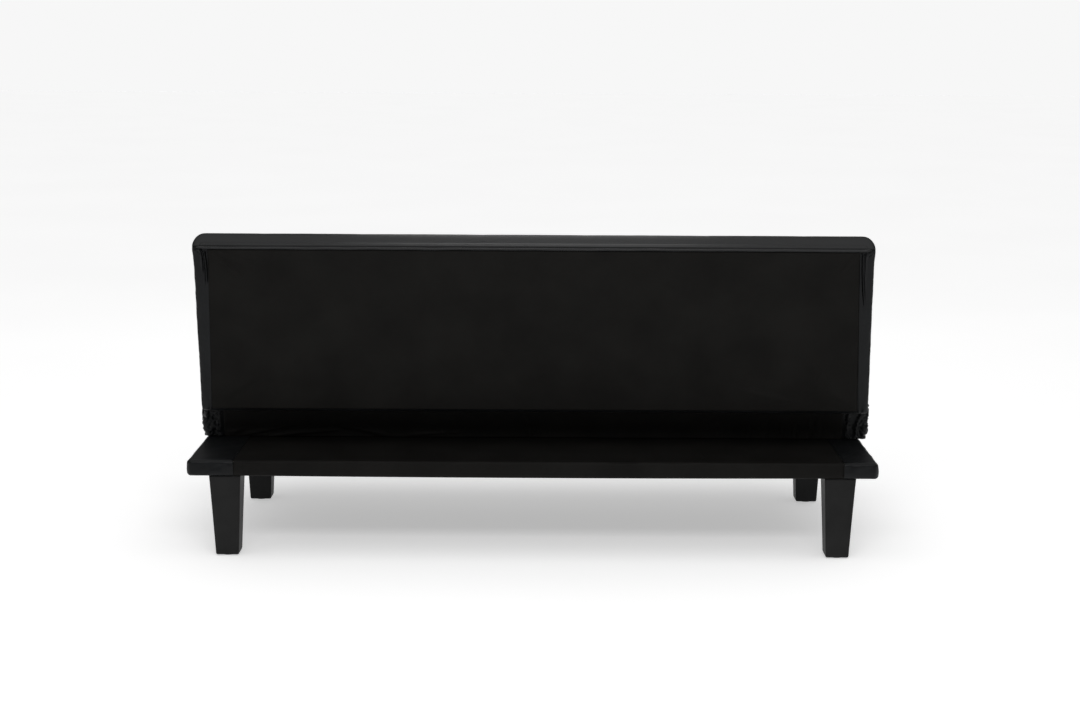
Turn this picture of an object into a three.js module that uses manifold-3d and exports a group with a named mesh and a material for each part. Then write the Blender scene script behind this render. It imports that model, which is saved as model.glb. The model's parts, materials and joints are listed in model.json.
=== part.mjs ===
// An armless futon sofa bed: a thin upholstered platform on four tapered legs, a fixed seat
// cushion, and a back cushion that folds down flat on two ratchet hinges.
// Millimetres, +Z up. X runs across the sofa, -Y is the front that people sit at, and the
// back cushion stands upright at rest. Left is -X, as seen from the front.
import * as THREE from "three";
import { mergeVertices } from "three/addons/utils/BufferGeometryUtils.js";
import Module from "manifold-3d";

// Driving dimensions
const SOFA_WIDTH = 1676;
const SOFA_DEPTH = 752;
const FIT = 0.3; // gap kept between pieces that touch
const COVER = 2.4; // thickness of a sewn cover

const LEG_TOP = 76;
const LEG_FOOT = 56;
const LEG_CORNER = 5;
const LEG_X = 743.5; // leg axis, either side of the middle
const REAR_LEG_Y = 332.5;
const FRONT_LEG_Y = -187.5;
const GLIDE_HEIGHT = 2.7;
const GLIDE_RADIUS = 20;
const LEG_TOP_Z = 200;
const PLATE_SIZE = 64;
const PLATE_TOP_Z = 205.6;
const BOLT_RADIUS = 4;

const BASE_BOTTOM_Z = 203.3;
const BASE_TOP_Z = 242.5;
const BASE_HALF_WIDTH = 832;
const BASE_FRONT_Y = -364;
const BASE_REAR_Y = 376;
const END_WRAPS = { left: 82, right: 111 }; // widths of the platform's vinyl-covered ends
const END_PROUD = 1; // how far the vinyl ends stand out past the cloth
const END_CORNER = 11; // plan radius of the platform's corners
const LIP = 8; // cover edge folded under the platform
const RAIL_WIDTH = 70;
const RAIL_BOTTOM_Z = 205.9;
const RAIL_TOP_Z = 235.9;
const DECK_TOP_Z = 240;

const SEAT_BOTTOM_Z = 243.8;
const SEAT_TOP_Z = 364;
const SEAT_FRONT_Y = -SOFA_DEPTH / 2;
const SEAT_REAR_Y = 122;
const SEAT_CORNER = 22; // plan radius of the seat's upright corners
const TRAY_INSET = 5.7; // from the seat's outside to its timber tray
const BOARD = 22;
const BOARD_HEIGHT = 60;
const SLAT_WIDTH = 60;
const SLAT_THICKNESS = 12;
const SLAT_XS = [-510, -170, 170, 510];

const FOLD_GAP = 8; // between seat and back when the bed is flat
const PIVOT_DEPTH = 25; // pivot axis below the lying surface
const BULLNOSE = 40; // radius of the lying surface's long edges
const BACK_LENGTH = 438;
const BACK_THICKNESS = 117.5;
const BACK_HALF_BOTTOM = 826;
const BACK_HALF_TOP = 819;
const BACK_CORNER_TOP = 28;
const BACK_CORNER_BOTTOM = 20;
const REST_ANGLE = 80; // degrees up from the flat bed
const SIDE_WRAP = 27; // vinyl turned onto the rear face
const WELT_RADIUS = 2.2;

const ARM_THICKNESS = 4;
const EYE_RADIUS = 12;
const PIN_RADIUS = 4;
const PIN_BORE = PIN_RADIUS + FIT;
const SCREW_RADIUS = 3;
const HEAD_RADIUS = 6.5;
const HEAD_HEIGHT = 4;
const LOWER_ARM_X = 806; // inner face of the arm on the seat
const UPPER_ARM_X = 800.5; // inner face of the arm on the back
const BAY_INNER_X = 794; // hinge slot through foam and covers
const BAY_OUTER_X = 816;
const FOOT_Y = 85; // arm's bolted foot, measured from the pivot
const FOOT_Z = -65;

const PIVOT_Y = SEAT_REAR_Y + FOLD_GAP / 2;
const PIVOT_Z = SEAT_TOP_Z - PIVOT_DEPTH;

// Solid tools
const wasm = await Module();
wasm.setup();

function solidOf(geometry) {
  const bare = geometry.clone();
  bare.deleteAttribute("normal");
  bare.deleteAttribute("uv");
  const merged = mergeVertices(bare, 1e-4);
  const vertProperties = merged.attributes.position.array;
  const triVerts = new Uint32Array(merged.index.array);
  return new wasm.Manifold(new wasm.Mesh({ numProp: 3, vertProperties, triVerts }));
}

function geometryOf(solid) {
  const { vertProperties, triVerts } = solid.getMesh();
  const shared = new THREE.BufferGeometry();
  shared.setAttribute("position", new THREE.BufferAttribute(vertProperties, 3));
  shared.setIndex(new THREE.BufferAttribute(triVerts, 1));
  const faceted = shared.toNonIndexed();
  faceted.computeVertexNormals();
  return faceted;
}

function combine(method, first, others) {
  const result = others.reduce((solid, other) => solid[method](solidOf(other)), solidOf(first));
  return geometryOf(result);
}
const cut = (body, ...tools) => combine("subtract", body, tools);
const common = (body, ...limits) => combine("intersect", body, limits);

// Shape tools
const ROUND_HANDLE = 0.5523; // Bezier handle that follows a quarter circle

// A closed outline through corners given as [x, y, radius].
function outline(corners) {
  const shape = new THREE.Shape();
  corners.forEach(([x, y, radius], i) => {
    const corner = new THREE.Vector2(x, y);
    const toward = ([nextX, nextY]) =>
      new THREE.Vector2(nextX, nextY).sub(corner).setLength(radius).add(corner);
    const start = toward(corners.at(i - 1));
    const end = toward(corners[(i + 1) % corners.length]);
    const leave = start.clone().lerp(corner, ROUND_HANDLE);
    const arrive = end.clone().lerp(corner, ROUND_HANDLE);
    if (i === 0) shape.moveTo(start.x, start.y);
    else shape.lineTo(start.x, start.y);
    if (radius > 0) shape.bezierCurveTo(leave.x, leave.y, arrive.x, arrive.y, end.x, end.y);
  });
  return shape;
}

function rectangle(x0, x1, y0, y1, radius = 0) {
  return outline([[x0, y0, radius], [x1, y0, radius], [x1, y1, radius], [x0, y1, radius]]);
}

const extrude = (shape, depth) =>
  new THREE.ExtrudeGeometry(shape, { depth, bevelEnabled: false, curveSegments: 6 });

const X_AXIS = new THREE.Vector3(1, 0, 0);
const Y_AXIS = new THREE.Vector3(0, 1, 0);
const Z_AXIS = new THREE.Vector3(0, 0, 1);
const SECTION_TO_YZ = new THREE.Matrix4().makeBasis(Y_AXIS, Z_AXIS, X_AXIS);
const SECTION_TO_XZ = new THREE.Matrix4().makeBasis(X_AXIS, Z_AXIS, Y_AXIS.clone().negate());

// A (y, z) section run from x0 to x1.
const alongX = (section, x0, x1) =>
  extrude(section, x1 - x0).applyMatrix4(SECTION_TO_YZ).translate(x0, 0, 0);

// An (x, z) section run from y0 to y1.
const alongY = (section, y0, y1) =>
  extrude(section, y1 - y0).applyMatrix4(SECTION_TO_XZ).translate(0, y1, 0);

// An (x, y) section run from z0 to z1.
const alongZ = (section, z0, z1) => extrude(section, z1 - z0).translate(0, 0, z0);

function block(x0, x1, y0, y1, z0, z1) {
  const geometry = new THREE.BoxGeometry(x1 - x0, y1 - y0, z1 - z0);
  return geometry.translate((x0 + x1) / 2, (y0 + y1) / 2, (z0 + z1) / 2);
}

// A round bar along X, centred on (y, z).
function barX(radius, x0, x1, y, z, sides = 24) {
  const bar = new THREE.CylinderGeometry(radius, radius, x1 - x0, sides);
  return bar.rotateZ(-Math.PI / 2).translate((x0 + x1) / 2, y, z);
}

function barZ(radius, z0, z1, sides = 16) {
  return new THREE.CylinderGeometry(radius, radius, z1 - z0, sides)
    .rotateX(Math.PI / 2)
    .translate(0, 0, (z0 + z1) / 2);
}

// Materials
const surface = (color, roughness, metalness = 0) =>
  new THREE.MeshStandardMaterial({ color, roughness, metalness });
const vinyl = surface(0x1b1c1f, 0.42);
const cloth = surface(0x16161a, 0.95);
const legPlastic = surface(0x1f1f22, 0.5);
const timber = surface(0xb89468, 0.8);
const plywood = surface(0xc4a377, 0.8);
const foam = surface(0xe6dfc6, 0.95);
const steel = surface(0x8d9196, 0.35, 1);
const zinc = surface(0xb9bdc2, 0.3, 1);
const felt = surface(0x3a3a3c, 0.95);

const sofa = new THREE.Group();

function addPiece(parent, name, geometry, material) {
  const mesh = new THREE.Mesh(geometry, material);
  mesh.name = name;
  parent.add(mesh);
  return mesh;
}

const SIDES = [["left", -1], ["right", 1]];

// The same piece at either end, mirrored where it is on the left.
function atSide(geometry, side) {
  if (side > 0) return geometry;
  const flipped = solidOf(geometry).mirror([1, 0, 0]);
  return geometryOf(flipped);
}

// Legs
function tapered(geometry, z0, z1, scaleAtZ0) {
  const position = geometry.attributes.position;
  for (let i = 0; i < position.count; i += 1) {
    const rise = (position.getZ(i) - z0) / (z1 - z0);
    const scale = THREE.MathUtils.lerp(scaleAtZ0, 1, rise);
    position.setXY(i, position.getX(i) * scale, position.getY(i) * scale);
  }
  return geometry;
}

function legGeometry() {
  const footZ = GLIDE_HEIGHT + FIT;
  const half = LEG_TOP / 2;
  const post = alongZ(rectangle(-half, half, -half, half, LEG_CORNER), footZ, LEG_TOP_Z);
  const boltHole = barZ(BOLT_RADIUS + FIT, LEG_TOP_Z - 42, LEG_TOP_Z + 1);
  return cut(tapered(post, footZ, LEG_TOP_Z, LEG_FOOT / LEG_TOP), boltHole);
}

function plateGeometry() {
  const half = PLATE_SIZE / 2;
  const plate = alongZ(rectangle(-half, half, -half, half, 6), LEG_TOP_Z + FIT, PLATE_TOP_Z);
  return cut(plate, barZ(BOLT_RADIUS + FIT, LEG_TOP_Z - 1, PLATE_TOP_Z + 1));
}

const BOLT_TOP_Z = RAIL_TOP_Z - 6;
const LEG_PLACES = [
  ["front_left", -LEG_X, FRONT_LEG_Y],
  ["front_right", LEG_X, FRONT_LEG_Y],
  ["rear_left", -LEG_X, REAR_LEG_Y],
  ["rear_right", LEG_X, REAR_LEG_Y],
];

for (const [place, x, y] of LEG_PLACES) {
  const corner = new THREE.Group();
  corner.position.set(x, y, 0);
  sofa.add(corner);
  addPiece(corner, `leg_${place}`, legGeometry(), legPlastic);
  addPiece(corner, `glide_${place}`, barZ(GLIDE_RADIUS, 0, GLIDE_HEIGHT, 24), felt);
  addPiece(corner, `leg_plate_${place}`, plateGeometry(), steel);
  addPiece(corner, `leg_bolt_${place}`, barZ(BOLT_RADIUS, LEG_TOP_Z - 40, BOLT_TOP_Z), zinc);
}

// Platform: timber rails, a plywood deck, and three stretched covers
const RAIL_INSET = 2.8; // cover and gap outside the rails
const railFrontY = BASE_FRONT_Y + END_PROUD + RAIL_INSET;
const railRearY = BASE_REAR_Y - END_PROUD - RAIL_INSET;
const railHalfX = BASE_HALF_WIDTH - END_PROUD - RAIL_INSET;
const boltHoles = LEG_PLACES.map(([, x, y]) =>
  barZ(BOLT_RADIUS + FIT, RAIL_BOTTOM_Z - 1, BOLT_TOP_Z + FIT).translate(x, y, 0),
);

function rail(x0, x1, y0, y1) {
  return block(x0, x1, y0, y1, RAIL_BOTTOM_Z, RAIL_TOP_Z);
}

const midRailFront = FRONT_LEG_Y - RAIL_WIDTH / 2;
const midRailRear = FRONT_LEG_Y + RAIL_WIDTH / 2;
const rearRailFront = railRearY - RAIL_WIDTH;
const endRailInner = railHalfX - RAIL_WIDTH;
const midHalfX = endRailInner - FIT;

const frontRail = rail(-railHalfX, railHalfX, railFrontY, railFrontY + RAIL_WIDTH);
const middleRail = cut(rail(-midHalfX, midHalfX, midRailFront, midRailRear), ...boltHoles);
const rearRail = cut(rail(-railHalfX, railHalfX, rearRailFront, railRearY), ...boltHoles);
addPiece(sofa, "base_rail_front", frontRail, timber);
addPiece(sofa, "base_rail_middle", middleRail, timber);
addPiece(sofa, "base_rail_rear", rearRail, timber);
const centreRail = rail(-RAIL_WIDTH / 2, RAIL_WIDTH / 2, midRailRear + FIT, rearRailFront - FIT);
addPiece(sofa, "base_rail_centre", centreRail, timber);

for (const [name, side] of SIDES) {
  const endRail = rail(endRailInner, railHalfX, railFrontY + RAIL_WIDTH + FIT, rearRailFront - FIT);
  addPiece(sofa, `base_rail_${name}`, atSide(endRail, side), timber);
}

const deck = block(-railHalfX, railHalfX, railFrontY, railRearY, RAIL_TOP_Z + FIT, DECK_TOP_Z);
addPiece(sofa, "base_deck", deck, plywood);

// The (y, z) section of a cover: over the top, down both faces and a lip under each edge.
function platformSection(front, rear, topZ, skin) {
  const outer = rectangle(front, rear, BASE_BOTTOM_Z, topZ, 7);
  const inner = rectangle(front + skin, rear - skin, PLATE_TOP_Z, DECK_TOP_Z + FIT);
  const open = rectangle(front + skin + LIP, rear - skin - LIP, BASE_BOTTOM_Z - 10, PLATE_TOP_Z + 3);
  return [outer, inner, open];
}

function clothCover() {
  const low = -(BASE_HALF_WIDTH - END_WRAPS.left - FIT);
  const high = BASE_HALF_WIDTH - END_WRAPS.right - FIT;
  const front = BASE_FRONT_Y + END_PROUD;
  const rear = BASE_REAR_Y - END_PROUD;
  const [outer, inner, open] = platformSection(front, rear, BASE_TOP_Z, COVER);
  const body = alongX(outer, low, high);
  return cut(body, alongX(inner, low - 1, high + 1), alongX(open, low - 1, high + 1));
}

function vinylEnd(wrap) {
  const skin = COVER + END_PROUD;
  const topZ = BASE_TOP_Z + END_PROUD;
  const [outer, inner, open] = platformSection(BASE_FRONT_Y, BASE_REAR_Y, topZ, skin);
  const start = BASE_HALF_WIDTH - wrap;
  const plan = outline([
    [start, BASE_FRONT_Y, 0],
    [BASE_HALF_WIDTH, BASE_FRONT_Y, END_CORNER],
    [BASE_HALF_WIDTH, BASE_REAR_Y, END_CORNER],
    [start, BASE_REAR_Y, 0],
  ]);
  const front = rectangle(start - 20, BASE_HALF_WIDTH, BASE_BOTTOM_Z, topZ, 7);
  const shell = common(
    alongX(outer, start, BASE_HALF_WIDTH),
    alongZ(plan, BASE_BOTTOM_Z, topZ),
    alongY(front, BASE_FRONT_Y, BASE_REAR_Y),
  );
  const innerEnd = BASE_HALF_WIDTH - skin;
  return cut(
    shell,
    alongX(inner, start - 1, innerEnd),
    alongX(open, start - 1, innerEnd - LIP),
  );
}

// Thin black cloth stapled under the rails, cut away round the leg plates.
function dustCloth() {
  const inset = COVER + 2 * END_PROUD + LIP + FIT;
  const halfX = BASE_HALF_WIDTH - inset;
  const frontY = BASE_FRONT_Y + inset;
  const rearY = BASE_REAR_Y - inset;
  const sheet = block(-halfX, halfX, frontY, rearY, BASE_BOTTOM_Z + FIT, PLATE_TOP_Z);
  const half = PLATE_SIZE / 2 + FIT;
  const windows = LEG_PLACES.map(([, x, y]) =>
    block(x - half, x + half, y - half, y + half, BASE_BOTTOM_Z - 5, PLATE_TOP_Z + 5),
  );
  return cut(sheet, ...windows);
}

addPiece(sofa, "base_dust_cloth", dustCloth(), cloth);
addPiece(sofa, "base_cover_centre", clothCover(), cloth);
for (const [name, side] of SIDES) {
  addPiece(sofa, `base_cover_${name}`, atSide(vinylEnd(END_WRAPS[name]), side), vinyl);
}

// Seat cushion: a timber tray, slats, foam and a sewn cover
const SEAT_HALF = SOFA_WIDTH / 2;
const SEAM = COVER + FIT;

// The seat's outer form, shrunk by inset on every side.
function seatForm(inset) {
  const front = SEAT_FRONT_Y + inset;
  const rear = SEAT_REAR_Y - inset;
  const low = SEAT_BOTTOM_Z + inset;
  const high = SEAT_TOP_Z - inset;
  const half = SEAT_HALF - inset;
  const nose = BULLNOSE - inset;
  const section = outline([[front, low, 4], [rear, low, 4], [rear, high, nose], [front, high, nose]]);
  return common(
    alongX(section, -half, half),
    alongZ(rectangle(-half, half, front, rear, SEAT_CORNER - inset), low, high),
    alongY(outline([[-half, low, 4], [half, low, 4], [half, high, 24], [-half, high, 24]]), front, rear),
  );
}

// Slots that let the hinge eyes and arms reach out of a cushion, in the pivot's own (y, z).
function hingeSlots(y0, y1, z0, z1) {
  return SIDES.map(([, side]) => {
    const slot = block(BAY_INNER_X, BAY_OUTER_X, y0, y1, z0, z1);
    return atSide(slot, side);
  });
}

const EYE_SWEEP = EYE_RADIUS + 1.5;
const seatSlots = hingeSlots(
  PIVOT_Y - EYE_SWEEP,
  PIVOT_Y + EYE_SWEEP,
  PIVOT_Z - 60,
  SEAT_TOP_Z + 5,
);
const seatWindow = block(-785, 785, SEAT_REAR_Y - SEAM, SEAT_REAR_Y + 5, SEAT_BOTTOM_Z + 8, 318);
const seatShell = cut(
  seatForm(0),
  seatForm(COVER),
  block(
    -SEAT_HALF + SEAM + 2,
    SEAT_HALF - SEAM - 2,
    SEAT_FRONT_Y + SEAM + 2,
    SEAT_REAR_Y - SEAM - 2,
    SEAT_BOTTOM_Z - 5,
    SEAT_BOTTOM_Z + 12,
  ),
);
addPiece(sofa, "seat_cover", cut(seatShell, seatWindow, ...seatSlots), vinyl);

const rearClothPatch = block(
  -785 + FIT,
  785 - FIT,
  SEAT_REAR_Y - COVER,
  SEAT_REAR_Y + 5,
  SEAT_BOTTOM_Z + 8 + FIT,
  318 - FIT,
);
addPiece(sofa, "seat_rear_cloth", common(seatShell, rearClothPatch), cloth);

const trayLow = SEAT_BOTTOM_Z + COVER + FIT;
const trayHigh = trayLow + BOARD_HEIGHT;
const trayFront = SEAT_FRONT_Y + TRAY_INSET;
const trayRear = SEAT_REAR_Y - TRAY_INSET;
const trayHalf = SEAT_HALF - TRAY_INSET;
const endBoardInner = LOWER_ARM_X + ARM_THICKNESS + FIT;
const TRAY_CORNER = SEAT_CORNER - TRAY_INSET;

const trayPlan = rectangle(-trayHalf, trayHalf, trayFront, trayRear, TRAY_CORNER);
const trayLimit = alongZ(trayPlan, trayLow, trayHigh);
const tray = (x0, x1, y0, y1) => common(block(x0, x1, y0, y1, trayLow, trayHigh), trayLimit);
const longHalf = endBoardInner - FIT;
addPiece(sofa, "seat_board_front", tray(-longHalf, longHalf, trayFront, trayFront + BOARD), timber);
const rearHalf = LOWER_ARM_X - FIT;
addPiece(sofa, "seat_board_rear", tray(-rearHalf, rearHalf, trayRear - BOARD, trayRear), timber);

const lowerScrew = (radius, x0, x1) => barX(radius, x0, x1, PIVOT_Y - FOOT_Y, PIVOT_Z + FOOT_Z, 16);
for (const [name, side] of SIDES) {
  const board = tray(endBoardInner, trayHalf, trayFront, trayRear);
  const drilled = cut(board, lowerScrew(SCREW_RADIUS + FIT, endBoardInner - 1, endBoardInner + 16));
  addPiece(sofa, `seat_board_${name}`, atSide(drilled, side), timber);
}

SLAT_XS.forEach((x, i) => {
  const slat = block(
    x - SLAT_WIDTH / 2,
    x + SLAT_WIDTH / 2,
    trayFront + BOARD + FIT,
    trayRear - BOARD - FIT,
    trayHigh - SLAT_THICKNESS,
    trayHigh,
  );
  addPiece(sofa, `seat_slat_${i + 1}`, slat, plywood);
});

const seatFoamSlots = hingeSlots(PIVOT_Y - 48, PIVOT_Y + 10, trayHigh - 5, PIVOT_Z + EYE_SWEEP);
const foamLow = trayHigh + FIT;
const foamZone = block(-SEAT_HALF, SEAT_HALF, SEAT_FRONT_Y, SEAT_REAR_Y, foamLow, SEAT_TOP_Z);
const seatFoam = cut(common(seatForm(SEAM), foamZone), ...seatFoamSlots, ...seatSlots);
addPiece(sofa, "seat_foam", seatFoam, foam);

// Back cushion, built lying flat with the pivot axis at its origin, then stood up
const back = new THREE.Group();
back.position.set(0, PIVOT_Y, PIVOT_Z);
back.rotation.x = THREE.MathUtils.degToRad(REST_ANGLE);
sofa.add(back);

const BACK_BOTTOM_Y = FOLD_GAP / 2;
const BACK_TOP_Y = BACK_BOTTOM_Y + BACK_LENGTH;
const BACK_FACE_Z = PIVOT_DEPTH;
const BACK_REAR_Z = BACK_FACE_Z - BACK_THICKNESS;

function backHalfWidth(y) {
  const rise = (y - BACK_BOTTOM_Y) / BACK_LENGTH;
  return THREE.MathUtils.lerp(BACK_HALF_BOTTOM, BACK_HALF_TOP, rise);
}

function backForm(inset) {
  const low = BACK_BOTTOM_Y + inset;
  const high = BACK_TOP_Y - inset;
  const rear = BACK_REAR_Z + inset;
  const face = BACK_FACE_Z - inset;
  const nose = BULLNOSE - inset;
  const section = outline([
    [low, rear, 12 - inset],
    [high, rear, 5 - inset],
    [high, face, nose],
    [low, face, nose],
  ]);
  const lowHalf = backHalfWidth(low) - inset;
  const highHalf = backHalfWidth(high) - inset;
  const plan = outline([
    [-lowHalf, low, BACK_CORNER_BOTTOM - inset],
    [lowHalf, low, BACK_CORNER_BOTTOM - inset],
    [highHalf, high, BACK_CORNER_TOP - inset],
    [-highHalf, high, BACK_CORNER_TOP - inset],
  ]);
  return common(alongX(section, -BACK_HALF_BOTTOM, BACK_HALF_BOTTOM), alongZ(plan, rear, face));
}

// A flat panel that follows the tapered sides of the back, margin inside them.
function taperedPanel(margin, y0, y1, z0, z1) {
  const lowHalf = backHalfWidth(y0) - margin;
  const highHalf = backHalfWidth(y1) - margin;
  const plan = outline([[-lowHalf, y0, 0], [lowHalf, y0, 0], [highHalf, y1, 0], [-highHalf, y1, 0]]);
  return alongZ(plan, z0, z1);
}

const CLOTH_LOW_Y = BACK_BOTTOM_Y + 12.5;
const WELT_Y = BACK_TOP_Y - 8;
const WELT_GROOVE = WELT_RADIUS + 0.5;
const CLOTH_HIGH_Y = WELT_Y - WELT_GROOVE;
const backClothTop = BACK_REAR_Z + COVER;

const backShell = cut(backForm(0), backForm(COVER));
const backWindow = taperedPanel(
  SIDE_WRAP - FIT,
  CLOTH_LOW_Y - FIT,
  WELT_Y + WELT_GROOVE,
  BACK_REAR_Z - 5,
  backClothTop + FIT,
);
const backSlots = hingeSlots(-5, EYE_SWEEP, -60, BACK_FACE_Z + 5);
addPiece(back, "back_cover", cut(backShell, backWindow, ...backSlots), vinyl);

const rearPanel = taperedPanel(SIDE_WRAP, CLOTH_LOW_Y, CLOTH_HIGH_Y, BACK_REAR_Z, backClothTop);
addPiece(back, "back_rear_cloth", rearPanel, cloth);

const weltHalf = backHalfWidth(WELT_Y) - SIDE_WRAP - 3;
const welt = barX(WELT_RADIUS, -weltHalf, weltHalf, WELT_Y, BACK_REAR_Z + 0.1, 10);
addPiece(back, "back_welt", welt, vinyl);

const frameRear = BACK_REAR_Z + SEAM + FIT;
const frameFace = frameRear + BOARD_HEIGHT;
const upperFoot = UPPER_ARM_X + ARM_THICKNESS + FIT; // inner face of the back's side boards
const SIDE_BOARD = 11;
const sideBoardHigh = BACK_TOP_Y - 34;
const backBoard = (x0, x1, y0, y1) => block(x0, x1, y0, y1, frameRear, frameFace);

const bottomLow = BACK_BOTTOM_Y + 10;
const bottomHalf = UPPER_ARM_X - FIT;
const bottomRail = backBoard(-bottomHalf, bottomHalf, bottomLow, bottomLow + BOARD);
addPiece(back, "back_board_bottom", bottomRail, timber);
const topLow = sideBoardHigh + FIT;
const topHalf = BACK_HALF_TOP - 14;
const topBoard = backBoard(-topHalf, topHalf, topLow, topLow + BOARD);
addPiece(back, "back_board_top", topBoard, timber);

const upperScrew = (radius, x0, x1) => barX(radius, x0, x1, FOOT_Y, FOOT_Z, 16);
for (const [name, side] of SIDES) {
  const board = backBoard(upperFoot, upperFoot + SIDE_BOARD, bottomLow, sideBoardHigh);
  const drilled = cut(board, upperScrew(SCREW_RADIUS + FIT, upperFoot - 1, upperFoot + 10.5));
  addPiece(back, `back_board_${name}`, atSide(drilled, side), timber);
}

SLAT_XS.forEach((x, i) => {
  const slat = block(
    x - SLAT_WIDTH / 2,
    x + SLAT_WIDTH / 2,
    bottomLow + BOARD + FIT,
    sideBoardHigh,
    frameFace - SLAT_THICKNESS,
    frameFace,
  );
  addPiece(back, `back_slat_${i + 1}`, slat, plywood);
});

const backFoamZone = block(
  -BACK_HALF_BOTTOM,
  BACK_HALF_BOTTOM,
  BACK_BOTTOM_Y,
  BACK_TOP_Y,
  frameFace + FIT,
  BACK_FACE_Z,
);
const backFoamSlots = hingeSlots(-5, 34, frameFace - 5, EYE_SWEEP);
const backFoam = cut(common(backForm(SEAM), backFoamZone), ...backFoamSlots, ...backSlots);
addPiece(back, "back_foam", backFoam, foam);

// Ratchet hinges: two flat arms on one pin at each end
// The arm's outline runs round the eye, then down to its bolted foot on the +y side.
function armSection() {
  const shape = new THREE.Shape();
  shape.absarc(0, 0, EYE_RADIUS, THREE.MathUtils.degToRad(-10), THREE.MathUtils.degToRad(250), false);
  shape.lineTo(34, FOOT_Z - 21);
  shape.lineTo(130, FOOT_Z - 21);
  shape.lineTo(130, FOOT_Z + 21);
  shape.lineTo(38, FOOT_Z + 21);
  shape.closePath();
  return shape;
}

function armGeometry(x0, mirrored) {
  const x1 = x0 + ARM_THICKNESS;
  const plain = cut(
    alongX(armSection(), x0, x1),
    barX(PIN_BORE, x0 - 1, x1 + 1, 0, 0),
    barX(SCREW_RADIUS + FIT, x0 - 1, x1 + 1, FOOT_Y, FOOT_Z, 16),
  );
  return mirrored ? geometryOf(solidOf(plain).mirror([0, 1, 0])) : plain;
}

// A turned pin along X: a head, a shaft through both arms and a peened tail.
function pinGeometry() {
  const headEnd = UPPER_ARM_X - FIT;
  const tailStart = LOWER_ARM_X + ARM_THICKNESS + FIT;
  const profile = [
    [0, headEnd - 3.5],
    [5.5, headEnd - 3.5],
    [7, headEnd - 2],
    [7, headEnd],
    [PIN_RADIUS, headEnd],
    [PIN_RADIUS, tailStart],
    [6, tailStart],
    [5, tailStart + 2.5],
    [0, tailStart + 2.5],
  ];
  const points = profile.map(([radius, along]) => new THREE.Vector2(radius, along));
  return new THREE.LatheGeometry(points, 24).rotateZ(-Math.PI / 2);
}

// A button-headed screw along X, its head bearing on the arm at x.
function screwGeometry(x, length) {
  const profile = [
    [0, x - FIT - HEAD_HEIGHT],
    [HEAD_RADIUS - 2, x - FIT - HEAD_HEIGHT],
    [HEAD_RADIUS, x - FIT - HEAD_HEIGHT / 2],
    [HEAD_RADIUS, x - FIT],
    [SCREW_RADIUS, x - FIT],
    [SCREW_RADIUS, x + length],
    [0, x + length],
  ];
  const points = profile.map(([radius, along]) => new THREE.Vector2(radius, along));
  return new THREE.LatheGeometry(points, 16).rotateZ(-Math.PI / 2);
}

for (const [name, side] of SIDES) {
  const pivot = new THREE.Group();
  pivot.position.set(0, PIVOT_Y, PIVOT_Z);
  sofa.add(pivot);
  const lowerArm = armGeometry(LOWER_ARM_X, true);
  addPiece(pivot, `hinge_lower_arm_${name}`, atSide(lowerArm, side), steel);
  addPiece(pivot, `hinge_pin_${name}`, atSide(pinGeometry(), side), zinc);
  const lowerBolt = screwGeometry(LOWER_ARM_X, 18).translate(0, -FOOT_Y, FOOT_Z);
  addPiece(pivot, `hinge_screw_seat_${name}`, atSide(lowerBolt, side), zinc);
  const upperArm = armGeometry(UPPER_ARM_X, false);
  addPiece(back, `hinge_upper_arm_${name}`, atSide(upperArm, side), steel);
  const upperBolt = screwGeometry(UPPER_ARM_X, 14).translate(0, FOOT_Y, FOOT_Z);
  addPiece(back, `hinge_screw_back_${name}`, atSide(upperBolt, side), zinc);
}

export default sofa;
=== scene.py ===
# The looks of an armless futon sofa bed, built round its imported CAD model.
# Metres, +Z up. X runs across the sofa, -Y is the front that people sit at. The back cushion is
# modelled lying flat, with the hinge axis on X at its origin, and then stood up.
import json
import math

import bpy
import numpy as np
from mathutils import Matrix, Vector, noise
from mathutils.bvhtree import BVHTree


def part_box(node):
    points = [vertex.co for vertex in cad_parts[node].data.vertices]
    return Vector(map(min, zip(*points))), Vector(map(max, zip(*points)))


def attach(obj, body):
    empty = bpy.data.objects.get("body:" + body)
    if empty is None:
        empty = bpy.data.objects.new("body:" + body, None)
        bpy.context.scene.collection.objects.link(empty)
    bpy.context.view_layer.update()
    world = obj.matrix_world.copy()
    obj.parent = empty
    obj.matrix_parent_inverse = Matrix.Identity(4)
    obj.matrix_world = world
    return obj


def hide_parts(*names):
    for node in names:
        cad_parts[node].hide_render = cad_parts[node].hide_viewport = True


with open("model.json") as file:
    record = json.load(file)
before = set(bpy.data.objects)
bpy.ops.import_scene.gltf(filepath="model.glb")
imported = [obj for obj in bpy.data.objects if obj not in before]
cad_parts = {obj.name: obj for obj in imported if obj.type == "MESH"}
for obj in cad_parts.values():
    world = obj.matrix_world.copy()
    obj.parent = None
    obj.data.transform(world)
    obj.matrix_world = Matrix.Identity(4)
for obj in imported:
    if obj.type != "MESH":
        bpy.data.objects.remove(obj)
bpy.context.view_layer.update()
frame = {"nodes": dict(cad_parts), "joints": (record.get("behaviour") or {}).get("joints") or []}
scene = bpy.context.scene

MM = 0.001


def mm(*sizes):
    """Sizes in millimetres as a tuple in metres."""
    return tuple(size * MM for size in sizes)


SIDES = (("left", -1), ("right", 1))
PLACES = ("front_left", "front_right", "rear_left", "rear_right")

joint = frame["joints"][0]
PIVOT = Vector(joint["pos_m"])
REST_ANGLE = math.radians(joint["range_deg"][1])  # up from the flat bed, where the range ends
FLAT = Matrix.Identity(4)
UPRIGHT = Matrix.Translation(PIVOT) @ Matrix.Rotation(REST_ANGLE, 4, "X")
BASE_BODY, BACK_BODY = "sofa_base", "back_cushion"


def span(node):
    """A CAD node's box as two arrays."""
    return [np.array(corner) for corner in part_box(node)]


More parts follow.
